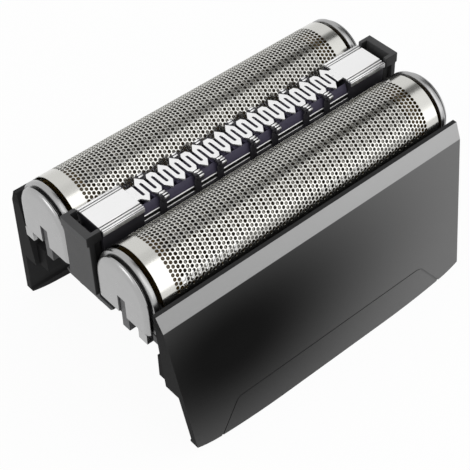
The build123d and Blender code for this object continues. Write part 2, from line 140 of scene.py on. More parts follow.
# Ties of a turn: bright bars and the dark tabs under them, as x, y and z spans in millimetres from the turn's
# middle and the comb's upper face. The rear ones are turned round when they are placed.
FRONT_TIE_BARS = (
    ((-0.34, 0.66), (-2.30, -2.08), (-0.38, -0.05)),
    ((0.05, 0.85), (-2.60, -2.38), (-0.60, -0.32)),
    ((0.05, 0.85), (-3.00, -2.78), (-0.80, -0.45)),
)
FRONT_TIE_TABS = (
    ((-0.45, 0.85), (-2.60, -1.82), (-0.75, -0.36)),
    ((-0.10, 0.85), (-2.97, -2.45), (-1.30, -0.68)),
    ((-0.45, 0.45), (-2.65, -2.45), (-1.15, -0.72)),
)
REAR_TIE_BARS = (
    ((0.63, 1.41), (-2.38, -2.12), (-0.42, -0.12)),
    ((0.49, 1.27), (-2.86, -2.60), (-0.42, -0.12)),
)
REAR_TIE_TABS = (
    ((0.10, 1.55), (-3.05, -1.75), (-0.80, -0.44)),
    ((0.30, 1.30), (-2.95, -2.45), (-1.30, -0.76)),
)

# Faces of the side panels, whose face and band carry a painted reflection: x and z of the darkest spot, its
# reach along both, the heights between which the upper band sets in, half the length over which the band
# pales, and the tints of the painted reflection and the flakes
SPOT_X, SPOT_Z = -18 * MM, 15 * MM
SPOT_REACH_X, SPOT_REACH_Z = 30 * MM, 17.5 * MM
BAND_START, BAND_FULL = 23.88 * MM, 24 * MM
BAND_FADE = 30 * MM
PAINTED_REFLECTION = (0.165, 0.165, 0.165)
FLAKE = (0.2, 0.2, 0.2)

# Angle in degrees above which an edge is rounded, and those above which one stays sharp in shading
ROUNDED_ABOVE = 25
SHARP_THIN, SHARP_CAP, SHARP_STRIP = 32, 30, 40

# Camera, lamps and floor: places and side lengths in metres, the camera's turn in degrees
CAMERA_PLACE = (-0.09282, -0.11028, 0.15651)
CAMERA_TURN = (44.557, 1.376, -41.074)
CAMERA_LENS = 103.37
KEY_PLACE, KEY_SIZE = (0.215, -0.30, 0.27), (0.60, 0.60)
FILL_PLACE, FILL_SIZE = (-0.40, 0.08, 0.22), (0.25, 0.25)
LAMP_AIM = (0.0, 0.0, 0.02)
FLOOR_REACH = 3.0
FLOOR_GAP = 0.1 * MM
FLOOR_WHITE = 0.95

# Room that metal mirrors: its colour, that of its darker part, and that part's soft limits, each as an axis
# of the direction, two values on it, and whether the dark begins between them or ends there
ROOM = (0.95, 0.95, 0.95)
DARK_PART = (0.10, 0.10, 0.096)
DARK_LIMITS = (
    ("X", 0.38, 0.54, "begins"),
    ("Y", -0.76, -0.60, "begins"),
    ("Y", 0.26, 0.40, "ends"),
    ("Z", 0.0, 0.1, "begins"),
)


def length(name, description, millimetres):
    """Length property with its default given in millimetres."""
    return FloatProperty(
        name=name,
        description=description,
        default=millimetres * MM,
        min=0.0,
        precision=5,
        subtype="DISTANCE",
        unit="LENGTH",
    )


def colour(name, description, value):
    """Colour property with its default as linear red, green and blue."""
    return FloatVectorProperty(
        name=name,
        description=description,
        default=value,
        size=3,
        min=0.0,
        max=1.0,
        subtype="COLOR",
    )


class FoilSettings(bpy.types.PropertyGroup):
    """Sizes of the foils and their frames"""

    radius: length("Radius", "Outer radius of the foil's arch", 6.0)
    wall: length("Wall", "Thickness of the foil", 0.12)
    half_length: length("Half length", "Distance from the middle to the foil's end", 25.9)
    leg: length("Leg", "Straight part below the arch", 3.9)
    column_pitch: length("Column pitch", "Distance along the foil between two columns of holes", 0.621)
    ring_pitch: length("Ring pitch", "Distance around the arch between two holes of a column", 0.637)
    hole: length("Hole", "Radius of one hole", 0.283)
    columns: IntProperty(name="Columns", description="Columns of holes along the foil", default=76, min=2)
    holes: IntProperty(name="Holes", description="Holes of one column over the arch", default=26, min=2)
    frame_edge: length("Frame edge", "Rounding of the foil frames' edges", 0.1)


class CutterSettings(bpy.types.PropertyGroup):
    """Sizes of the lamellae"""

    radius: length("Radius", "Outer radius of a lamella", 5.4)
    band: length("Band", "Width of a lamella's arched band", 0.9)
    thickness: length("Thickness", "Thickness of a lamella", 0.3)
    half_length: length("Half length", "Distance from the middle to the last lamella", 20.6)
    count: IntProperty(name="Lamellae", description="Lamellae of one cutter", default=34, min=2)


class CapSettings(bpy.types.PropertyGroup):
    """Sizes of the foils' end caps"""

    rim_radius: length("Rim radius", "Radius of the flange beside the foil", 5.95)
    face_radius: length("Face radius", "Radius of the cap before its rounding", 5.45)
    start: length("Start", "Distance from the middle to the cap's inner face", 26.6)
    flange: length("Flange", "Thickness of the flange", 0.9)
    groove: length("Groove", "Width of the groove between the flange and the face", 0.45)
    groove_radius: length("Groove radius", "Radius of the cap inside its groove", 4.6)
    depth: length("Depth", "Thickness of the whole cap", 1.93)
    rounding: length("Rounding", "Reach of the rim's rounding over the cap's face", 1.0)
    drop: length("Drop", "Depth of the cap below the foil's axis", 4.1)
    notch: length("Notch", "Half the width of the notch for the guide post", 0.83)
    notch_drop: length("Notch drop", "Height of the notch's end below the axis", 0.9)
    leg_start: length("Leg start", "Distance from the axis to the leg", 3.3)
    leg_width: length("Leg width", "Width of the leg", 1.8)
    leg_height: length("Leg height", "Length of the leg", 1.75)
    chamfer: length("Chamfer", "Chamfer of the flange's edges", 0.18)
    sink: length("Sink", "Depth of the leg's root in the cap", 0.02)


class TrimmerSettings(bpy.types.PropertyGroup):
    """Sizes of the trimmer"""

    top: length("Top", "Height of the comb's upper face", 31.0)
    sheet: length("Sheet", "Thickness of the comb", 0.35)
    strand: length("Strand", "Width of one strand", 0.58)
    slot: length("Slot", "Distance from the middle to the straight end of a slot", 0.95)
    shoulder: length("Shoulder", "Distance from the middle to the start of a turn's point", 1.3)
    tip: length("Tip", "Distance from the middle to a free turn's point", 2.35)
    tip_blunt: length("Tip blunt", "Half the width of a free turn's point", 0.05)
    tie: length("Tie", "Distance from the middle to a tied turn's flat end", 1.9)
    tie_blunt: length("Tie blunt", "Half the width of a tied turn's flat end", 0.42)
    neck: length("Neck", "Half the width of the neck between the comb and a plate", 1.3)
    comb_end: length("Comb end", "Distance from the middle to the plates", 19.3)
    plate_end: length("Plate end", "Distance from the middle to the far end of a plate", 26.3)
    edge: length("Edge", "Rounding of the plate's edges", 0.03)
    rail_bead: length("Rail bead", "Radius of the beads along a rail's edges", 0.12)
    cover_gap: length("Cover gap", "Distance from a cover's end to the plate", 0.1)
    block_edge: length("Block edge", "Rounding of the block's edges", 0.08)


class CassetteSettings(bpy.types.PropertyGroup):
    """Roundings of the cassette's pieces"""

    edge: length("Edge", "Rounding of the moulded edges", 0.12)
    panel_edge: length("Panel edge", "Rounding of the side panels' edges", 0.16)
    leaf_edge: length("Leaf edge", "Rounding of the leaf springs' edges", 0.03)


class FinishSettings(bpy.types.PropertyGroup):
    """Colours of the finishes"""

    nickel: colour("Nickel", "Foils", (0.665, 0.66, 0.628))
    steel: colour("Steel", "Trimmer plate", (0.95, 0.95, 0.95))
    # Groove: painted shade for the grooves of the trimmer plate and the end caps, and for the middle of the
    # rails
    groove: colour("Groove", "Grooves of the trimmer plate and the end caps", (0.008, 0.008, 0.008))
    violet_steel: colour("Violet steel", "Trimmer blade and covers", (0.065, 0.058, 0.095))
    ground_steel: colour("Ground steel", "Lamellae", (0.34, 0.33, 0.30))
    spring_steel: colour("Spring steel", "Leaf springs", (0.5, 0.49, 0.46))
    silver: colour("Silver", "End caps", (0.405, 0.405, 0.405))
    graphite: colour("Graphite", "Side panels' faces", (0.002, 0.002, 0.002))
    graphite_light: colour("Light graphite", "Side panels' upper bands", (0.44, 0.44, 0.44))
    charcoal: colour("Charcoal", "Moulded frame", (0.055, 0.055, 0.056))
    post_grey: colour("Post grey", "Foil frames", (0.075, 0.075, 0.077))
    amber: colour("Amber", "Cutter carriers", (0.12, 0.075, 0.018))
    ink: colour("Ink", "Trimmer block", (0.030, 0.029, 0.034))


class StageSettings(bpy.types.PropertyGroup):
    """Floor, lamps and soft light"""

    floor: colour("Floor", "Floor and backdrop", (0.90, 0.90, 0.90))
    key: FloatProperty(name="Key", description="Power of the main lamp", default=1.1, unit="POWER")
    fill: FloatProperty(name="Fill", description="Power of the fill lamp", default=0.4, unit="POWER")
    sky: FloatProperty(name="Sky", description="Level of the soft light all round", default=0.62)


class Wire:
    """Output socket whose arithmetic adds Math nodes to its tree."""

    def __init__(self, board, node, socket):
        self.board = board
        self.node = node
        self.socket = socket

    def out(self, name):
        """Another output of the same node."""
        return Wire(self.board, self.node, self.node.outputs[name])

    def math(self, operation, *others):
        """Result of one Math node that takes this socket first."""
        return self.board.math(operation, self, *others)

    def __add__(self, other):
        return self.math("ADD", other)

    __radd__ = __add__

    def __sub__(self, other):
        return self.math("SUBTRACT", other)

    def __rsub__(self, other):
        return self.board.math("SUBTRACT", other, self)

    def __mul__(self, other):
        return self.math("MULTIPLY", other)

    __rmul__ = __mul__

    def __truediv__(self, other):
        return self.math("DIVIDE", other)

    def __rtruediv__(self, other):
        return self.board.math("DIVIDE", other, self)

    def __abs__(self):
        return self.math("ABSOLUTE")


class Board:
    """Adds nodes to one tree."""

    def __init__(self, tree):
        self.tree = tree

    def add(self, kind, settings=None, **sockets):
        """New node. Sockets are named with spaces as underscores, or by number as in_0."""
        node = self.tree.nodes.new(kind)
        for name, value in (settings or {}).items():
            setattr(node, name, value)
        for name, value in sockets.items():
            key = int(name[3:]) if name.startswith("in_") else name.replace("_", " ")
            for item in value if isinstance(value, list) else [value]:
                if isinstance(item, Wire):
                    self.tree.links.new(item.socket, node.inputs[key])
                else:
                    node.inputs[key].default_value = item
        return Wire(self, node, node.outputs[0]) if node.outputs else node

    def math(self, operation, *values):
        """Result of one Math node."""
        sockets = {f"in_{index}": value for index, value in enumerate(values)}
        return self.add("ShaderNodeMath", {"operation": operation}, **sockets)

    def mix(self, factor, first, second):
        """Blend of two colours."""
        node = self.tree.nodes.new("ShaderNodeMix")
        node.data_type = "RGBA"
        for index, value in ((0, factor), (6, first), (7, second)):
            if isinstance(value, Wire):
                self.tree.links.new(value.socket, node.inputs[index])
            elif index:
                node.inputs[index].default_value = (*value, 1.0)
            else:
                node.inputs[index].default_value = value
        return Wire(self, node, node.outputs[2])

    def point(self, *values):
        """Vector from three numbers or wires."""
        return self.add("ShaderNodeCombineXYZ", None, X=values[0], Y=values[1], Z=values[2])

    def axes(self, vector):
        """Node whose outputs X, Y and Z are a vector's three numbers."""
        return self.add("ShaderNodeSeparateXYZ", None, Vector=vector)

    def place(self):
        """Place on the object."""
        return self.add("ShaderNodeTexCoord").out("Object")

    def facing(self):
        """Node whose outputs X, Y and Z say where the surface looks."""
        return self.axes(self.add("ShaderNodeNewGeometry").out("True Normal"))


def new_board(name):
    """Board for the nodes of a new material."""
    material = bpy.data.materials.new(name)
    material.use_nodes = True
    material.node_tree.nodes.clear()
    return Board(material.node_tree)


def finish_material(board, **shader_sockets):
    """Principled shader and output."""
    shader = board.add("ShaderNodeBsdfPrincipled", None, **shader_sockets)
    board.add("ShaderNodeOutputMaterial", None, Surface=shader)


def shade_of(tint, level):
    """Colour at a share of its brightness."""
    return tuple(channel * level for channel in tint)


def step_up(board, value, low, high):
    """Smooth rise from 0 to 1 while the value goes from low to high."""
    return board.add(
        "ShaderNodeMapRange", {"interpolation_type": "SMOOTHSTEP"}, Value=value, From_Min=low, From_Max=high
    )


def grain(board, place, scale, detail, stretch=(1.0, 1.0, 1.0)):
    """Noise from 0 to 1 on the object, scaled in grains per metre and drawn out where stretch is small."""
    spread = board.add("ShaderNodeVectorMath", {"operation": "MULTIPLY"}, in_0=place, in_1=stretch)
    noise = board.add("ShaderNodeTexNoise", None, Vector=spread, Scale=scale, Detail=detail)
    return noise.out("Fac")


def polish_lines(board, place, stretch=(1.0, 1.0, 1.0)):
    """Fine lines that polishing or grinding leaves."""
    return grain(board, place, 900.0, 4.0, stretch)


def metal_cloud(board, place):
    """Slow change of shade over metal."""
    return grain(board, place, 160.0, 2.0)


def bump(board, height, strength, distance):
    """Normal of a surface whose small heights are a distance times the given height."""
    return board.add("ShaderNodeBump", None, Strength=strength, Distance=distance, Height=height)


def metal_material(name, tint, roughness, scratch, stretch, variation):
    """Polished or ground metal. Its lines run where stretch is small, and its shade varies both ways."""
    board = new_board(name)
    place = board.place()
    lines = polish_lines(board, place, stretch)
    cloud = metal_cloud(board, place)
    finish_material(
        board,
        Base_Color=board.mix(cloud, shade_of(tint, 1 - 2 * variation), tint),
        Metallic=1.0,
        Roughness=roughness + (lines - 0.5) * 0.18 + (cloud - 0.5) * 0.08,
        Normal=bump(board, lines, scratch, 0.02 * MM),
    )


def moulded_material(name, tint, roughness, specular, painted_side_shade=None):
    """Moulded plastic with a fine spark texture. Painted shade: faces that look front or rear can be darkened
    to a given level of the tint.
    """
    board = new_board(name)
    place = board.place()
    speckle = grain(board, place, 5200.0, 2.0)
    cloud = grain(board, place, 240.0, 3.0)
    shade = board.mix(cloud, shade_of(tint, 0.86), shade_of(tint, 1.12))
    # Painted shade: faces that look to the front or rear are darkened, standing in for the shadow between
    # parts.
    if painted_side_shade is not None:
        painted_side_mask = step_up(board, abs(board.facing().out("Y")), 0.5, 0.9)
        shade = board.mix(painted_side_mask, shade, shade_of(tint, painted_side_shade))
    finish_material(
        board,
        Base_Color=shade,
        Roughness=roughness + (speckle - 0.5) * 0.16,
        Specular_IOR_Level=specular,
        Normal=bump(board, speckle, 0.25, 0.03 * MM),
    )


def cap_material(name, tint, groove, low, high):
    """Satin silver whose groove, between two distances from the middle, is painted dark as shade in the
    recess.
    """
    board = new_board(name)
    place = board.place()
    along = abs(board.axes(place).out("X"))
    lines = polish_lines(board, place)
    cloud = metal_cloud(board, place)
    # Painted shade: the groove between the flange and the face is darkened and made non-metallic, as shade in
    # the recess.
    soft = 0.02 * MM
    entered = step_up(board, along, low + soft, low + 2 * soft)
    left = step_up(board, along, high - 2 * soft, high - soft)
    dark = entered * (1 - left)
    plain = board.mix(cloud, shade_of(tint, 0.96), tint)
    finish_material(
        board,
        Base_Color=board.mix(dark, plain, groove),
        Metallic=1 - dark,
        Roughness=0.30 + (lines - 0.5) * 0.16 + dark * 0.3,
        Normal=bump(board, lines, 0.06, 0.02 * MM),
    )


def panel_material(name, face, band, inside):
    """Lacquered panel: satin band that pales to one end and near black face that pales away from a dark spot,
    both a painted reflection, and a dark moulded back with painted shade on its end faces.
    """
    board = new_board(name)
    place = board.place()
    axes = board.axes(place)
    facing = board.facing()
    flake = grain(board, place, 9000.0, 1.0)
    cloud = grain(board, place, 90.0, 2.0)
    # Painted reflection: the face pales from near black at a spot towards a grey, as a soft reflection would.
    across = (axes.out("X") - SPOT_X) / SPOT_REACH_X
    down = (axes.out("Z") - SPOT_Z) / SPOT_REACH_Z
    reach = board.math("SQRT", across * across + down * down)
    painted_reflection_face = board.mix(step_up(board, reach, 0.14, 1.68), face, PAINTED_REFLECTION)
    painted_reflection_face = board.mix((flake - 0.5) * 0.02 + 0.01, painted_reflection_face, FLAKE)
    # Painted reflection: the band pales from one end to the other.
    along = step_up(board, axes.out("X"), -BAND_FADE, BAND_FADE)
    satin = board.mix(along, shade_of(band, 0.8), band)
    satin = board.mix(cloud * 0.08, satin, FLAKE)
    banded = step_up(board, axes.out("Z"), BAND_START, BAND_FULL)
    moulded = board.mix(cloud, shade_of(inside, 0.56), shade_of(inside, 0.66))
    # Painted shade: the moulded faces that look along X are darkened.
    painted_end_shade = step_up(board, abs(facing.out("X")), 0.6, 0.8)
    moulded = board.mix(painted_end_shade, moulded, shade_of(inside, 0.18))
    outward = facing.out("Y") * board.math("SIGN", axes.out("Y"))
    outer = step_up(board, outward, 0.25, 0.4)
    finish_material(
        board,
        Base_Color=board.mix(outer, moulded, board.mix(banded, painted_reflection_face, satin)),
        Roughness=0.30 + banded * 0.10 + (flake - 0.5) * 0.10 + (1 - outer) * 0.2,
        Specular_IOR_Level=0.02,
        Normal=bump(board, flake, 0.08, 0.01 * MM),
    )


def plate_material(name, tint, groove, comb_end):
    """Polished plate whose grooves along its ends are painted dark as shade."""
    board = new_board(name)
    place = board.place()
    axes = board.axes(place)
    lines = polish_lines(board, place, (0.04, 1.0, 1.0))
    cloud = metal_cloud(board, place)
    # Painted shade: thin bands over the plate's grooves, past the comb's end, are darkened as shade in the
    # grooves.
    side = abs(axes.out("Y"))
    dark = 0.0
    for middle, half_width in PLATE_GROOVES:
        away = abs(side - middle * MM)
        dark = dark + (1 - step_up(board, away, half_width * 0.6 * MM, half_width * 1.2 * MM))
    dark = dark * step_up(board, abs(axes.out("X")), comb_end, comb_end + 0.05 * MM)
    plain = board.mix(cloud, shade_of(tint, 0.96), tint)
    finish_material(
        board,
        Base_Color=board.mix(dark, plain, groove),
        Metallic=1 - dark * 0.6,
        Roughness=0.34 + (lines - 0.5) * 0.14 + dark * 0.2,
        Normal=bump(board, lines, 0.08, 0.02 * MM),
    )


def rail_material(name, tint, groove):
    """Bright strip whose groove between its two edges is painted dark as shade."""
    board = new_board(name)
    place = board.place()
    lines = polish_lines(board, place, (0.04, 1.0, 1.0))
    # Painted shade: the band between the two edges is darkened and made non-metallic, as shade in the groove.
    away = abs(board.axes(place).out("Z") - (RAIL_LOW + RAIL_HIGH) / 2)
    half_height = (RAIL_HIGH - RAIL_LOW) / 2
    bright = step_up(board, away, half_height - RAIL_EDGE, half_height - RAIL_EDGE * 0.8)
    finish_material(
        board,
        Base_Color=board.mix(bright, groove, tint),
        Metallic=bright,
        Roughness=0.5 - bright * 0.18 + (lines - 0.5) * 0.14,
        Normal=bump(board, lines, 0.08, 0.02 * MM),
    )


def amber_material(name, tint):
    """Clear amber plastic, glossy and slightly cloudy."""
    board = new_board(name)
    cloud = grain(board, board.place(), 300.0, 3.0)
    finish_material(
        board,
        Base_Color=board.mix(cloud, shade_of(tint, 0.6), tint),
        Roughness=0.22 + cloud * 0.12,
        Subsurface_Weight=0.35,
        Subsurface_Radius=(1.2 * MM, 0.7 * MM, 0.2 * MM),
        Normal=bump(board, cloud, 0.05, 0.05 * MM),
    )


def floor_material(name, tint):
    """Pale floor that the camera and mirrors see as white, with the object's shadow left on it."""
    board = new_board(name)
    paths = board.add("ShaderNodeLightPath")
    seen = board.math("MAXIMUM", paths.out("Is Camera Ray"), paths.out("Is Glossy Ray"))
    seen = board.math("MAXIMUM", seen, paths.out("Is Transmission Ray"))
    matt = board.add("ShaderNodeBsdfDiffuse", None, Color=(*tint, 1.0))
    glow = board.add("ShaderNodeEmission", None, Color=(1.0, 1.0, 1.0, 1.0), Strength=1.0)
    both = board.add("ShaderNodeMixShader", None, in_0=seen * FLOOR_WHITE, in_1=matt, in_2=glow)
    board.add("ShaderNodeOutputMaterial", None, Surface=both)


def named_material(name):
    """Material that the finish operator has made."""
    return bpy.data.materials[name]


def new_object(name, mesh):
    """Object at the origin that shows the mesh."""
    mesh.name = name
    thing = bpy.data.objects.new(name, mesh)
    bpy.context.collection.objects.link(thing)
    return thing


def plain_mesh(thing):
    """Mesh of an object with its modifiers applied; the object goes."""
    bpy.context.view_layer.update()
    depsgraph = bpy.context.evaluated_depsgraph_get()
    mesh = bpy.data.meshes.new_from_object(thing.evaluated_get(depsgraph), depsgraph=depsgraph)
    old = thing.data
    bpy.data.objects.remove(thing)
    bpy.data.meshes.remove(old)
    return mesh


def smooth(mesh, angle):
    """Smooth shading with edges kept sharp above an angle in degrees."""
    mesh.shade_smooth()
    mesh.set_sharp_from_angle(angle=radians(angle))


def join_flats(shell, limit=radians(0.5)):
    """Join flat neighbouring faces wherever the joined face has no hole, then drop spare corners."""
    for edge in list(shell.edges):
        if not edge.is_valid or len(edge.link_faces) != 2:
            continue
        first, second = edge.link_faces
        if first == second or first.normal.angle(second.normal, pi) > limit:
            continue
        shared_corners = set(first.verts) & set(second.verts)
        shared_edges = set(first.edges) & set(second.edges)
        if len(shared_corners) == len(shared_edges) + 1:
            joined = bmesh.utils.face_join([first, second])
            if joined:
                joined.normal_update()
    spare = []
    for corner in shell.verts:
        if len(corner.link_edges) == 2:
            one, other = [edge.other_vert(corner).co - corner.co for edge in corner.link_edges]
            if one.angle(other, 0.0) > pi - limit:
                spare.append(corner)
    bmesh.ops.dissolve_verts(shell, verts=spare)


def softened(node, name, edge, segments=2):
    """Piece shaped as a frame node, with its flat faces joined and its edges rounded."""
    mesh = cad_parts[node].data.copy()
    shell = bmesh.new()
    shell.from_mesh(mesh)
    bmesh.ops.remove_doubles(shell, verts=shell.verts, dist=WELD)
    bmesh.ops.dissolve_degenerate(shell, edges=shell.edges, dist=WELD / 2)
    join_flats(shell)
    many_sided = [face for face in shell.faces if len(face.verts) > MOST_CORNERS]
    bmesh.ops.triangulate(shell, faces=many_sided)
    shell.to_mesh(mesh)
    shell.free()
    return rounded(mesh, name, edge, segments)


def rounded(mesh, name, edge, segments=2):
    """Object that shows the mesh with its edges rounded."""
    rough = new_object(name + "_rough", mesh)
    rounding = rough.modifiers.new("Edges", "BEVEL")
    rounding.width = edge
    rounding.segments = segments
    rounding.limit_method = "ANGLE"
    rounding.angle_limit = radians(ROUNDED_ABOVE)
    rounding.use_clamp_overlap = True
    rounding.miter_outer = "MITER_ARC"
    mesh.shade_smooth()
    weighting = rough.modifiers.new("Shading", "WEIGHTED_NORMAL")
    weighting.keep_sharp = False
    return new_object(name, plain_mesh(rough))


def dress(thing, body, nodes, finish):
    """Give a piece its material, hang it under its body's empty and hide the frame nodes it replaces."""
    thing.data.materials.clear()
    thing.data.materials.append(named_material(finish))
    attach(thing, body)
    if nodes:
        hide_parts(*nodes)


def repaint(node, finish):
    """Keep a frame node and give it a finished material."""
    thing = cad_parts[node]
    thing.data.materials.clear()
    thing.data.materials.append(named_material(finish))


def node_tree(name, inputs):
    """Geometry Nodes tree with named inputs, and a board with the wires of its input node."""
    tree = bpy.data.node_groups.new(name, "GeometryNodeTree")
    tree.interface.new_socket("Geometry", in_out="INPUT", socket_type="NodeSocketGeometry")
    for socket_name, kind in inputs.items():
        tree.interface.new_socket(socket_name, in_out="INPUT", socket_type=kind)
    tree.interface.new_socket("Geometry", in_out="OUTPUT", socket_type="NodeSocketGeometry")
    board = Board(tree)
    return tree, board, board.add("NodeGroupInput")


def close_tree(board, geometry, material):
    """Realize, weld and paint the geometry, and send it out of the tree."""
    real = board.add("GeometryNodeRealizeInstances", None, Geometry=geometry)
    welded = board.add("GeometryNodeMergeByDistance", None, Geometry=real, Distance=WELD)
    painted = board.add("GeometryNodeSetMaterial", None, Geometry=welded, Material=material)
    board.add("NodeGroupOutput", None, Geometry=painted)


def grown(name, tree, values, seed_mesh=None):
    """Plain mesh that a tree makes from its inputs."""
    thing = new_object(name + "_plan", seed_mesh or bpy.data.meshes.new(name))
    modifier = thing.modifiers.new("Pattern", "NODES")
    modifier.node_group = tree
    for item in tree.interface.items_tree:
        if item.item_type == "SOCKET" and item.in_out == "INPUT" and item.name in values:
            modifier[item.identifier] = values[item.name]
    return plain_mesh(thing)


def mesh_from(name, corners, faces):
    """Mesh of corners and faces, or of points alone."""
    mesh = bpy.data.meshes.new(name)
    mesh.from_pydata(corners, [], faces)
    mesh.update()
    return mesh


def add_rings(shell, rings):
    """Closed skin over rings of points, with a flat face on the first and on the last ring."""
    made = [[shell.verts.new(point) for point in ring] for ring in rings]
    for first, second in zip(made, made[1:]):
        for index in range(len(first)):
            after = (index + 1) % len(first)
            shell.faces.new((first[index], first[after], second[after], second[index]))
    shell.faces.new(made[0])
    shell.faces.new(list(reversed(made[-1])))


def add_prism(shell, outline, low, high):
    """Closed block over an outline in plan."""
    add_rings(shell, [[(x, y, z) for x, y in outline] for z in (low, high)])


def add_block(shell, x_span, y_span, z_span):
    """Closed box over three spans."""
    (left, right), (near, far) = x_span, y_span
    add_prism(shell, [(left, near), (right, near), (right, far), (left, far)], *z_span)


def shell_mesh(shell, name):
    """Mesh of a shell with its faces turned outwards; the shell goes."""
    bmesh.ops.recalc_face_normals(shell, faces=shell.faces)
    mesh = bpy.data.meshes.new(name)
    shell.to_mesh(mesh)
    shell.free()
    return mesh


def hole_cell(column_pitch, ring_pitch, hole):
    """Flat cell of the foil with one round hole, as an object outside the scene."""
    wide, high = column_pitch / 2, ring_pitch / 2
    # Corners 0 to 11 run round the hole, and 12 to 17 round the cell
    angles = [radians(45 - 30 * step) for step in range(12)]
    rim = [(hole * cos(angle), hole * sin(angle)) for angle in angles]
    outer = [(wide, high), (wide, 0), (wide, -high), (-wide, -high), (-wide, 0), (-wide, high)]
    faces = [
        (12, 13, 1, 0),
        (13, 2, 1),
        (13, 14, 3, 2),
        (14, 4, 3),
        (14, 15, 5, 4),
        (15, 6, 5),
        (15, 16, 7, 6),
        (16, 8, 7),
        (16, 17, 9, 8),
        (17, 10, 9),
        (17, 12, 11, 10),
        (12, 0, 11),
    ]
    corners = [(x, y, 0) for x, y in rim + outer]
    cell = mesh_from("foil_cell", corners, [tuple(reversed(face)) for face in faces])
    return bpy.data.objects.new("foil_cell", cell)


def foil_tree():
    """Perforated arch: staggered columns of cells, plain ends and legs, bent about the foil's axis."""
    tree, board, given = node_tree(
        "Perforated foil",
        {
            "Cell": "NodeSocketObject",
            "Columns": "NodeSocketInt",
            "Holes": "NodeSocketInt",
            "Column Pitch": "NodeSocketFloat",
            "Ring Pitch": "NodeSocketFloat",
            "Radius": "NodeSocketFloat",
            "Leg": "NodeSocketFloat",
            "Half Length": "NodeSocketFloat",
            "Axis Y": "NodeSocketFloat",
            "Axis Z": "NodeSocketFloat",
            "Material": "NodeSocketMaterial",
        },
    )
    columns, holes = given.out("Columns"), given.out("Holes")
    column_pitch, ring_pitch = given.out("Column Pitch"), given.out("Ring Pitch")
    radius, half_length = given.out("Radius"), given.out("Half Length")
    axes = board.axes(board.add("GeometryNodeInputPosition"))
    column = board.math("ROUND", axes.out("X") / column_pitch + (columns - 1) / 2)
    odd = board.math("MODULO", column, 2.0)

    points = board.add(
        "GeometryNodeMeshGrid",
        None,
        Size_X=column_pitch * (columns - 1),
        Size_Y=ring_pitch * (holes - 1),
        Vertices_X=columns,
        Vertices_Y=holes,
    )
    staggered = board.add(
        "GeometryNodeSetPosition",
        None,
        Geometry=points,
        Offset=board.point(0.0, (odd - 0.5) * (ring_pitch / 2), 0.0),
    )
    cell = board.add("GeometryNodeObjectInfo", None, Object=given.out("Cell")).out("Geometry")
    field = board.add("GeometryNodeInstanceOnPoints", None, Points=staggered, Instance=cell)

    fill_points = board.add(
        "GeometryNodeMeshLine",
        None,
        Count=columns,
        Start_Location=board.point((1 - columns) * column_pitch / 2, 0.0, 0.0),
        Offset=board.point(column_pitch, 0.0, 0.0),
    )
    fill_placed = board.add(
        "GeometryNodeSetPosition",
        None,
        Geometry=fill_points,
        Offset=board.point(0.0, (1 - odd * 2) * holes * (ring_pitch / 2), 0.0),
    )
    fill_cell = board.add(
        "GeometryNodeMeshGrid", None, Size_X=column_pitch, Size_Y=ring_pitch / 2, Vertices_X=2, Vertices_Y=2
    )
    fill = board.add("GeometryNodeInstanceOnPoints", None, Points=fill_placed, Instance=fill_cell)

    field_end = columns * (column_pitch / 2)
    band = half_length - field_end
    arc_end = holes * (ring_pitch / 2) + ring_pitch / 4
    leg_end = radius * (pi / 2) + given.out("Leg")

    def strip(middle_x, size_x, vertices_x, middle_u, size_u, vertices_u):
        """Plain flat strip of the foil, as wide as its places along and around say."""
        sheet = board.add(
            "GeometryNodeMeshGrid",
            None,
            Size_X=size_x,
            Size_Y=size_u,
            Vertices_X=vertices_x,
            Vertices_Y=vertices_u,
        )
        return board.add(
            "GeometryNodeSetPosition", None, Geometry=sheet, Offset=board.point(middle_x, middle_u, 0.0)
        )

    sheets = [field, fill]
    leg_size, leg_rows = leg_end - arc_end, 13
    for end in (-1, 1):
        middle_x = (field_end + half_length) * (end / 2)
        sheets.append(strip(middle_x, band, 2, 0.0, arc_end * 2, holes * 2 + 2))
        for side in (-1, 1):
            middle_u = (arc_end + leg_end) * (side / 2)
            sheets.append(strip(middle_x, band, 2, middle_u, leg_size, leg_rows))
    for side in (-1, 1):
        middle_u = (arc_end + leg_end) * (side / 2)
        sheets.append(strip(0.0, field_end * 2, columns + 1, middle_u, leg_size, leg_rows))
    flat = board.add("GeometryNodeJoinGeometry", None, Geometry=sheets)
    real = board.add("GeometryNodeRealizeInstances", None, Geometry=flat)

    quarter = radius * (pi / 2)
    along = board.math("MINIMUM", board.math("MAXIMUM", axes.out("Y"), quarter * -1), quarter)
    turn = along / radius
    straight = abs(axes.out("Y")) - abs(along)
    bent = board.add(
        "GeometryNodeSetPosition",
        None,
        Geometry=real,
        Position=board.point(
            axes.out("X"),
            board.math("SINE", turn) * radius + given.out("Axis Y"),
            board.math("COSINE", turn) * radius - straight + given.out("Axis Z"),
        ),
    )
    close_tree(board, bent, given.out("Material"))
    return tree


def row_tree():
    """Row of like pieces along X."""
    tree, board, given = node_tree(
        "Row of lamellae",
        {
            "Piece": "NodeSocketObject",
            "Count": "NodeSocketInt",
            "Half Length": "NodeSocketFloat",
            "Axis Y": "NodeSocketFloat",
            "Axis Z": "NodeSocketFloat",
            "Material": "NodeSocketMaterial",
        },
    )
    count, half_length = given.out("Count"), given.out("Half Length")
    line = board.add(
        "GeometryNodeMeshLine",
        None,
        Count=count,
        Start_Location=board.point(half_length * -1, given.out("Axis Y"), given.out("Axis Z")),
        Offset=board.point(half_length * 2 / (count - 1), 0.0, 0.0),
    )
    piece = board.add("GeometryNodeObjectInfo", None, Object=given.out("Piece")).out("Geometry")
    close_tree(
        board,
        board.add("GeometryNodeInstanceOnPoints", None, Points=line, Instance=piece),
        given.out("Material"),
    )
    return tree


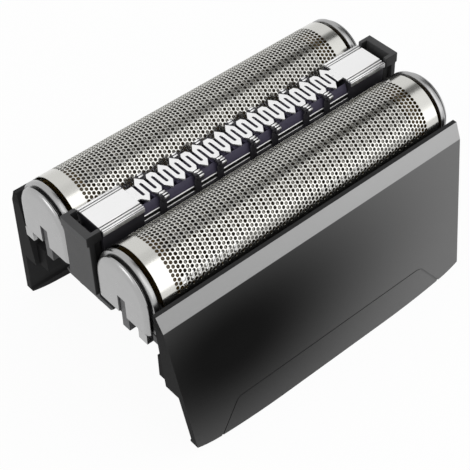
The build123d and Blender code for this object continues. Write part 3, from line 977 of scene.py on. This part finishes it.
def tie_tree():
    """Copies of one piece on given points, turned round on the far side."""
    tree, board, given = node_tree(
        "Pieces along the comb", {"Piece": "NodeSocketObject", "Material": "NodeSocketMaterial"}
    )
    axes = board.axes(board.add("GeometryNodeInputPosition"))
    rear = board.math("GREATER_THAN", axes.out("Y"), 0.0)
    piece = board.add("GeometryNodeObjectInfo", None, Object=given.out("Piece")).out("Geometry")
    placed = board.add(
        "GeometryNodeInstanceOnPoints",
        None,
        Points=given.out("Geometry"),
        Instance=piece,
        Rotation=board.point(0.0, 0.0, rear * pi),
    )
    close_tree(board, placed, given.out("Material"))
    return tree


class SHAVER_OT_finishes(bpy.types.Operator):
    """Make the materials of the head"""

    bl_idname = "shaver.finishes"
    bl_label = "Finishes"

    def execute(self, context):
        finish = context.scene.shaver_finish
        nickel, steel, groove = tuple(finish.nickel), tuple(finish.steel), tuple(finish.groove)
        graphite, graphite_light = tuple(finish.graphite), tuple(finish.graphite_light)
        silver, charcoal = tuple(finish.silver), tuple(finish.charcoal)
        caps = context.scene.shaver_cap
        groove_start = caps.start + caps.flange
        groove_end = groove_start + caps.groove
        metal_material("nickel foil", nickel, 0.20, 0.10, (0.05, 1.0, 1.0), 0.05)
        metal_material("ground lamellae", tuple(finish.ground_steel), 0.42, 0.2, (1.0, 0.1, 0.1), 0.15)
        metal_material("spring steel", tuple(finish.spring_steel), 0.33, 0.12, (0.2, 1.0, 1.0), 0.1)
        plate_material("trimmer plate steel", steel, groove, context.scene.shaver_trimmer.comb_end)
        rail_material("rail steel", steel, groove)
        cap_material("satin silver", silver, groove, groove_start, groove_end)
        moulded_material("violet coating", tuple(finish.violet_steel), 0.45, 0.5)
        # The charcoal moulding carries painted shade on its faces that look front or rear.
        moulded_material("charcoal moulding", charcoal, 0.55, 0.25, painted_side_shade=0.2)
        moulded_material("post grey moulding", tuple(finish.post_grey), 0.48, 0.4)
        moulded_material("ink moulding", tuple(finish.ink), 0.42, 0.3)
        panel_material("lacquer with painted reflection", graphite, graphite_light, charcoal)
        amber_material("amber plastic", tuple(finish.amber))
        return {"FINISHED"}


class SHAVER_OT_foils(bpy.types.Operator):
    """Make the perforated foils and dress their frames"""

    bl_idname = "shaver.foils"
    bl_label = "Foils"

    def execute(self, context):
        sizes = context.scene.shaver_foil
        cell = hole_cell(sizes.column_pitch, sizes.ring_pitch, sizes.hole)
        tree = foil_tree()
        for side_name, side in SIDES:
            values = {
                "Cell": cell,
                "Columns": sizes.columns,
                "Holes": sizes.holes,
                "Column Pitch": sizes.column_pitch,
                "Ring Pitch": sizes.ring_pitch,
                "Radius": sizes.radius,
                "Leg": sizes.leg,
                "Half Length": sizes.half_length,
                "Axis Y": side * AXIS_Y,
                "Axis Z": AXIS_Z,
                "Material": named_material("nickel foil"),
            }
            sheet = new_object("foil_sheet", grown("foil", tree, values))
            wall = sheet.modifiers.new("Wall", "SOLIDIFY")
            wall.thickness = sizes.wall
            wall.offset = -1.0
            mesh = plain_mesh(sheet)
            smooth(mesh, SHARP_THIN)
            foil = new_object(f"{side_name}_foil_skin", mesh)
            dress(foil, f"{side_name}_foil_unit", [f"{side_name}_foil"], "nickel foil")
            node = f"{side_name}_foil_frame"
            carrier = softened(node, f"{side_name}_foil_carrier", sizes.frame_edge)
            dress(carrier, f"{side_name}_foil_unit", [node], "post grey moulding")
        bpy.data.objects.remove(cell)
        return {"FINISHED"}


class SHAVER_OT_cutters(bpy.types.Operator):
    """Make the lamellae and dress their carriers"""

    bl_idname = "shaver.cutters"
    bl_label = "Cutters"

    def execute(self, context):
        sizes = context.scene.shaver_cutter
        steps = 24
        half = sizes.thickness / 2
        inner = sizes.radius - sizes.band
        section = ((-half, sizes.radius), (-half, inner), (half, inner), (half, sizes.radius))
        rings = []
        for step in range(steps + 1):
            angle = pi * step / steps
            rings.append([(x, radius * cos(angle), radius * sin(angle)) for x, radius in section])
        shell = bmesh.new()
        add_rings(shell, rings)
        lamella = bpy.data.objects.new("lamella", shell_mesh(shell, "lamella"))
        tree = row_tree()
        for side_name, side in SIDES:
            values = {
                "Piece": lamella,
                "Count": sizes.count,
                "Half Length": sizes.half_length,
                "Axis Y": side * AXIS_Y,
                "Axis Z": AXIS_Z,
                "Material": named_material("ground lamellae"),
            }
            mesh = grown("lamellae", tree, values)
            smooth(mesh, SHARP_THIN)
            lamellae = new_object(f"{side_name}_lamellae", mesh)
            cutter = f"{side_name}_cutter"
            dress(lamellae, cutter, [cutter + "_blades"], "ground lamellae")
            repaint(cutter + "_carrier", "amber plastic")
        bpy.data.objects.remove(lamella)
        return {"FINISHED"}


class SHAVER_OT_caps(bpy.types.Operator):
    """Make the rounded end caps of the foils"""

    bl_idname = "shaver.caps"
    bl_label = "End caps"

    def outline(self, sizes, radius):
        """Corners of the cap's face around its notch, as (y, z) from the foil's axis."""
        steps = 40
        angles = [pi * step / steps for step in range(steps + 1)]
        arc = [(radius * cos(angle), radius * sin(angle)) for angle in angles]
        depths = [sizes.drop * part / 4 for part in range(1, 4)]
        left = [(-radius, -depth) for depth in depths]
        right = [(radius, -depth) for depth in reversed(depths)]
        bottom = [
            (-radius, -sizes.drop),
            (-sizes.notch, -sizes.drop),
            (-sizes.notch, -sizes.notch_drop),
            (sizes.notch, -sizes.notch_drop),
            (sizes.notch, -sizes.drop),
            (radius, -sizes.drop),
        ]
        return arc + left + bottom + right

    def profile(self, sizes):
        """Depth and radius of the cap's rings: chamfered flange, groove, and face with its rounding."""
        chamfer, relief = sizes.chamfer, sizes.chamfer * 0.3
        rim, face = sizes.rim_radius, sizes.face_radius
        step, back = sizes.flange, sizes.flange + sizes.groove
        rings = [(0.0, rim - chamfer), (relief, rim - relief), (chamfer, rim)]
        rings += [(step - chamfer, rim), (step - relief, rim - relief), (step, rim - chamfer)]
        rings += [(step, sizes.groove_radius), (back, sizes.groove_radius), (back, face - relief)]
        round_start = back + relief
        round_steps = 9
        for turn in range(round_steps + 1):
            angle = pi / 2 * turn / round_steps
            depth = round_start + (sizes.depth - round_start) * sin(angle)
            rings.append((depth, face - sizes.rounding * (1 - cos(angle))))
        return rings

    def execute(self, context):
        sizes = context.scene.shaver_cap
        profile = self.profile(sizes)
        leg_y = AXIS_Y + sizes.leg_start
        leg_top = AXIS_Z - sizes.drop
        for side_name, side in SIDES:
            for end_name, end in ENDS:
                rings = []
                for depth, radius in profile:
                    x = end * (sizes.start + depth)
                    outline = self.outline(sizes, radius)
                    rings.append([(x, side * AXIS_Y + y, AXIS_Z + z) for y, z in outline])
                shell = bmesh.new()
                add_rings(shell, rings)
                add_block(
                    shell,
                    (end * (sizes.start + sizes.flange), end * (sizes.start + sizes.depth)),
                    (side * leg_y, side * (leg_y + sizes.leg_width)),
                    (leg_top - sizes.leg_height, leg_top + sizes.sink),
                )
                mesh = shell_mesh(shell, "cap")
                smooth(mesh, SHARP_CAP)
                cap = new_object(f"{side_name}_{end_name}_end_cap", mesh)
                node = f"{side_name}_{end_name}_cap"
                dress(cap, f"{side_name}_foil_unit", [node], "satin silver")
        return {"FINISHED"}


class SHAVER_OT_trimmer(bpy.types.Operator):
    """Make the trimmer's comb, ties and housing"""

    bl_idname = "shaver.trimmer"
    bl_label = "Trimmer"

    def turn_outline(self, sizes, reach, blunt):
        """Corners in plan of one turn and half of its two strands, from the middle towards the front."""
        outer = (STRAND_PITCH + sizes.strand) / 2
        inner = (STRAND_PITCH - sizes.strand) / 2
        steps = 6
        slot_end = [
            (inner * cos(pi * step / steps), -sizes.slot - inner * sin(pi * step / steps))
            for step in range(steps + 1)
        ]
        point = [(-outer, 0), (-outer, -sizes.shoulder), (-blunt, -reach)]
        return [(inner, 0)] + slot_end + [(-inner, 0)] + point + [(-x, y) for x, y in reversed(point)]

    def along_comb(self, name, mesh, turns, top, finish):
        """Mesh with a piece at each turn, turned round at the rear."""
        piece = bpy.data.objects.new(name, mesh)
        first = -(STRANDS - 1) / 2 * STRAND_PITCH
        places = []
        for turn in turns:
            mark = SIDE_MARK if turn % 2 == 0 else -SIDE_MARK
            places.append((first + (turn + 0.5) * STRAND_PITCH, mark, top))
        values = {"Piece": piece, "Material": named_material(finish)}
        grown_mesh = grown(name, tie_tree(), values, mesh_from(name + "_points", places, []))
        bpy.data.objects.remove(piece)
        return grown_mesh

    def comb_strands(self, sizes):
        """Shell of the serpentine: every turn with half of its two strands, welded to its neighbours."""
        tied = {2 * tie + 1 for tie in FRONT_TIES} | {2 * tie for tie in REAR_TIES}
        free = set(range(-1, STRANDS)) - tied
        comb = bmesh.new()
        for turns, reach, blunt in (
            (tied, sizes.tie, sizes.tie_blunt),
            (free, sizes.tip, sizes.tip_blunt),
        ):
            unit = bmesh.new()
            add_prism(unit, self.turn_outline(sizes, reach, blunt), -sizes.sheet, 0.0)
            bmesh.ops.recalc_face_normals(unit, faces=unit.faces)
            # The faces in the middle go, because the strand's other half joins there
            cut = [face for face in unit.faces if all(abs(corner.co.y) < WELD for corner in face.verts)]
            bmesh.ops.delete(unit, geom=cut, context="FACES_ONLY")
            unit_mesh = bpy.data.meshes.new("comb_turn")
            unit.to_mesh(unit_mesh)
            unit.free()
            turns = sorted(turns)
            comb.from_mesh(self.along_comb("comb_turn", unit_mesh, turns, sizes.top, "trimmer plate steel"))
        bmesh.ops.remove_doubles(comb, verts=comb.verts, dist=WELD)
        return comb

    def plates(self, sizes):
        """Mesh of the ribbed plates at both ends, each with the neck that holds the comb's last strand."""
        last = (STRANDS + 1) / 2 * STRAND_PITCH
        inside, outside = last - sizes.strand / 2, last + sizes.strand / 2
        section = [(y * MM, z * MM) for y, z in PLATE_SECTION]
        section += [(-y, z) for y, z in reversed(section[1:-1])]
        neck = [
            (inside, 0),
            (inside, -sizes.neck),
            (sizes.comb_end, -sizes.neck),
            (sizes.comb_end, sizes.neck),
            (outside, sizes.neck),
            (outside, 0),
        ]
        shell = bmesh.new()
        for end in (-1, 1):
            add_prism(shell, [(end * x, end * y) for x, y in neck], sizes.top - sizes.sheet, sizes.top)
            spans = (sizes.comb_end, sizes.plate_end)
            add_rings(shell, [[(end * x, y, z) for y, z in section] for x in spans])
        return shell_mesh(shell, "plates")

    def ties(self, sizes):
        """Bright bars and dark tabs that tie some of the turns to the block."""
        front_turns = [2 * tie + 1 for tie in FRONT_TIES]
        rear_turns = [2 * tie for tie in REAR_TIES]
        bars, tabs = ("trimmer_plate", "trimmer plate steel"), ("trimmer_block", "ink moulding")
        for name, turns, spans, (slot, finish) in (
            ("trimmer_front_tie_bars", front_turns, FRONT_TIE_BARS, bars),
            ("trimmer_front_tie_tabs", front_turns, FRONT_TIE_TABS, tabs),
            ("trimmer_rear_tie_bars", rear_turns, REAR_TIE_BARS, bars),
            ("trimmer_rear_tie_tabs", rear_turns, REAR_TIE_TABS, tabs),
        ):
            shell = bmesh.new()
            for span in spans:
                add_block(shell, *[[value * MM for value in pair] for pair in span])
            mesh = self.along_comb(name, shell_mesh(shell, name), turns, sizes.top, finish)
            dress(rounded(mesh, name, sizes.edge, 1), "trimmer", [], finish)

    def rail(self, sizes, side):
        """Mesh of a guard strip with a bead along each edge."""
        ends = (-sizes.comb_end, sizes.comb_end)
        bead = sizes.rail_bead
        shell = bmesh.new()
        add_block(shell, ends, (side * (RAIL_Y - 0.5 * bead), side * RAIL_Y), (RAIL_LOW, RAIL_HIGH))
        turns = [pi / 6 * step for step in range(12)]
        for height in (RAIL_LOW + bead, RAIL_HIGH - bead):
            ring = [(side * RAIL_Y + bead * cos(turn), height + bead * sin(turn)) for turn in turns]
            add_rings(shell, [[(x, y, z) for y, z in ring] for x in ends])
        return shell_mesh(shell, "rail")

    def cover(self, sizes, side):
        """Mesh of the sloping cover between the comb and a strip."""
        end = sizes.comb_end - sizes.cover_gap
        section = [(side * y * MM, z * MM) for y, z in COVER_SECTION]
        shell = bmesh.new()
        add_rings(shell, [[(x, y, z) for y, z in section] for x in (-end, end)])
        return shell_mesh(shell, "cover")

    def execute(self, context):
        sizes = context.scene.shaver_trimmer
        comb = self.comb_strands(sizes)
        comb.from_mesh(self.plates(sizes))
        mesh = bpy.data.meshes.new("comb")
        comb.to_mesh(mesh)
        comb.free()
        plate = rounded(mesh, "trimmer_plate", sizes.edge, 1)
        dress(plate, "trimmer", ["trimmer_comb"], "trimmer plate steel")
        self.ties(sizes)
        block = softened("trimmer_housing", "trimmer_block", sizes.block_edge, 1)
        dress(block, "trimmer", ["trimmer_housing"], "ink moulding")
        for side_name, side in SIDES:
            node = f"trimmer_{side_name}_rail"
            for name, mesh, nodes, slot, finish in (
                ("strip", self.rail(sizes, side), [node], "trimmer_plate", "rail steel"),
                ("cover", self.cover(sizes, side), [], "trimmer_block", "violet coating"),
            ):
                smooth(mesh, SHARP_STRIP)
                piece = new_object(f"trimmer_{side_name}_{name}", mesh)
                dress(piece, "trimmer", nodes, finish)
        repaint("trimmer_blade", "violet coating")
        repaint("trimmer_drive_arm", "ink moulding")
        return {"FINISHED"}


class SHAVER_OT_cassette(bpy.types.Operator):
    """Dress the cassette's frame, side panels and springs"""

    bl_idname = "shaver.cassette"
    bl_label = "Cassette"

    def execute(self, context):
        sizes = context.scene.shaver_cassette
        holder = softened("cassette_frame", "cassette_moulding", sizes.edge)
        dress(holder, "cassette", ["cassette_frame"], "charcoal moulding")
        for side_name, _ in SIDES:
            panel = softened(f"{side_name}_panel", f"{side_name}_side_panel", sizes.panel_edge)
            dress(panel, "cassette", [f"{side_name}_panel"], "lacquer with painted reflection")
        for row, joint, foot, keep in SPRINGS:
            for end_name, _ in ENDS:
                node = f"{row}_{end_name}_spring"
                leaf = softened(node, f"{row}_{end_name}_leaf", sizes.leaf_edge, 1)
                dress(leaf, "cassette", [node], "spring steel")
                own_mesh(leaf)
        return {"FINISHED"}


class SHAVER_OT_stage(bpy.types.Operator):
    """Set up the camera, floor, lamps and soft light"""

    bl_idname = "shaver.stage"
    bl_label = "Stage"

    def lamp(self, name, place, size, power):
        """Rectangular lamp that looks at the head."""
        light = bpy.data.lights.new(name, "AREA")
        light.shape = "RECTANGLE"
        light.size, light.size_y = size
        light.energy = power
        holder = bpy.data.objects.new(name, light)
        holder.location = place
        holder.rotation_euler = (Vector(LAMP_AIM) - Vector(place)).to_track_quat("-Z", "Y").to_euler()
        bpy.context.collection.objects.link(holder)

    def viewer(self, scene):
        """Camera at the photograph's place."""
        camera = bpy.data.cameras.new("camera")
        camera.lens = CAMERA_LENS
        camera.sensor_width = 36.0
        camera.clip_start = 0.01
        viewer = bpy.data.objects.new("camera", camera)
        viewer.location = CAMERA_PLACE
        viewer.rotation_euler = [radians(turn) for turn in CAMERA_TURN]
        bpy.context.collection.objects.link(viewer)
        scene.camera = viewer

    def floor(self, tint):
        """Wide floor just under the head."""
        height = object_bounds()[0][2] - FLOOR_GAP
        reach = FLOOR_REACH
        plan = ((-reach, -reach), (reach, -reach), (reach, reach), (-reach, reach))
        corners = [(x, y, height) for x, y in plan]
        sheet = new_object("floor", mesh_from("floor", corners, [(0, 1, 2, 3)]))
        floor_material("pale floor", tint)
        sheet.data.materials.append(named_material("pale floor"))
        sheet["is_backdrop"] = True

    def surroundings(self, scene, level):
        """Even soft light all round; the camera sees white, and metal mirrors a room with a darker part."""
        world = bpy.data.worlds.new("soft light")
        scene.world = world
        world.use_nodes = True
        world.node_tree.nodes.clear()
        board = Board(world.node_tree)
        ways = board.axes(board.add("ShaderNodeTexCoord").out("Generated"))
        dark = 1.0
        for axis, low, high, change in DARK_LIMITS:
            edge = step_up(board, ways.out(axis), low, high)
            dark = dark * (edge if change == "begins" else 1 - edge)
        paths = board.add("ShaderNodeLightPath")
        mirrored = board.mix(dark, ROOM, DARK_PART)
        soft = board.mix(paths.out("Is Glossy Ray"), (level, level, level), mirrored)
        white = board.math("MAXIMUM", paths.out("Is Camera Ray"), paths.out("Is Transmission Ray"))
        shown = board.mix(white, soft, (1.0, 1.0, 1.0))
        light = board.add("ShaderNodeBackground", None, Color=shown, Strength=1.0)
        board.add("ShaderNodeOutputWorld", None, Surface=light)

    def execute(self, context):
        scene = context.scene
        sizes = scene.shaver_stage
        scene.view_settings.view_transform = "Standard"
        self.viewer(scene)
        self.floor(tuple(sizes.floor))
        self.lamp("key_lamp", KEY_PLACE, KEY_SIZE, sizes.key)
        self.lamp("fill_lamp", FILL_PLACE, FILL_SIZE, sizes.fill)
        self.surroundings(scene, sizes.sky)
        return {"FINISHED"}


class SHAVER_PT_head(bpy.types.Panel):
    """Sizes, finishes and steps of the shaver head"""

    bl_idname = "SHAVER_PT_head"
    bl_label = "Shaver Head"
    bl_space_type = "VIEW_3D"
    bl_region_type = "UI"
    bl_category = "Shaver Head"

    def draw(self, context):
        for operator in OPERATORS:
            self.layout.operator(operator.bl_idname)
        for name in SETTINGS:
            group = getattr(context.scene, name)
            box = self.layout.box()
            for field in group.__annotations__:
                box.prop(group, field)


OPERATORS = (
    SHAVER_OT_finishes,
    SHAVER_OT_foils,
    SHAVER_OT_cutters,
    SHAVER_OT_caps,
    SHAVER_OT_trimmer,
    SHAVER_OT_cassette,
    SHAVER_OT_stage,
)
SETTINGS = {
    "shaver_foil": FoilSettings,
    "shaver_cutter": CutterSettings,
    "shaver_cap": CapSettings,
    "shaver_trimmer": TrimmerSettings,
    "shaver_cassette": CassetteSettings,
    "shaver_finish": FinishSettings,
    "shaver_stage": StageSettings,
}
CLASSES = (*SETTINGS.values(), *OPERATORS, SHAVER_PT_head)


def register():
    """Register the classes and the settings of the scene."""
    for cls in CLASSES:
        bpy.utils.register_class(cls)
    for name, group in SETTINGS.items():
        setattr(bpy.types.Scene, name, PointerProperty(type=group))


def unregister():
    """Take the settings and the classes away again."""
    for name in SETTINGS:
        delattr(bpy.types.Scene, name)
    for cls in reversed(CLASSES):
        bpy.utils.unregister_class(cls)


def main():
    """Register the classes and build every piece."""
    register()
    bpy.ops.shaver.finishes()
    bpy.ops.shaver.foils()
    bpy.ops.shaver.cutters()
    bpy.ops.shaver.caps()
    bpy.ops.shaver.trimmer()
    bpy.ops.shaver.cassette()
    bpy.ops.shaver.stage()


if __name__ == "__main__":
    main()
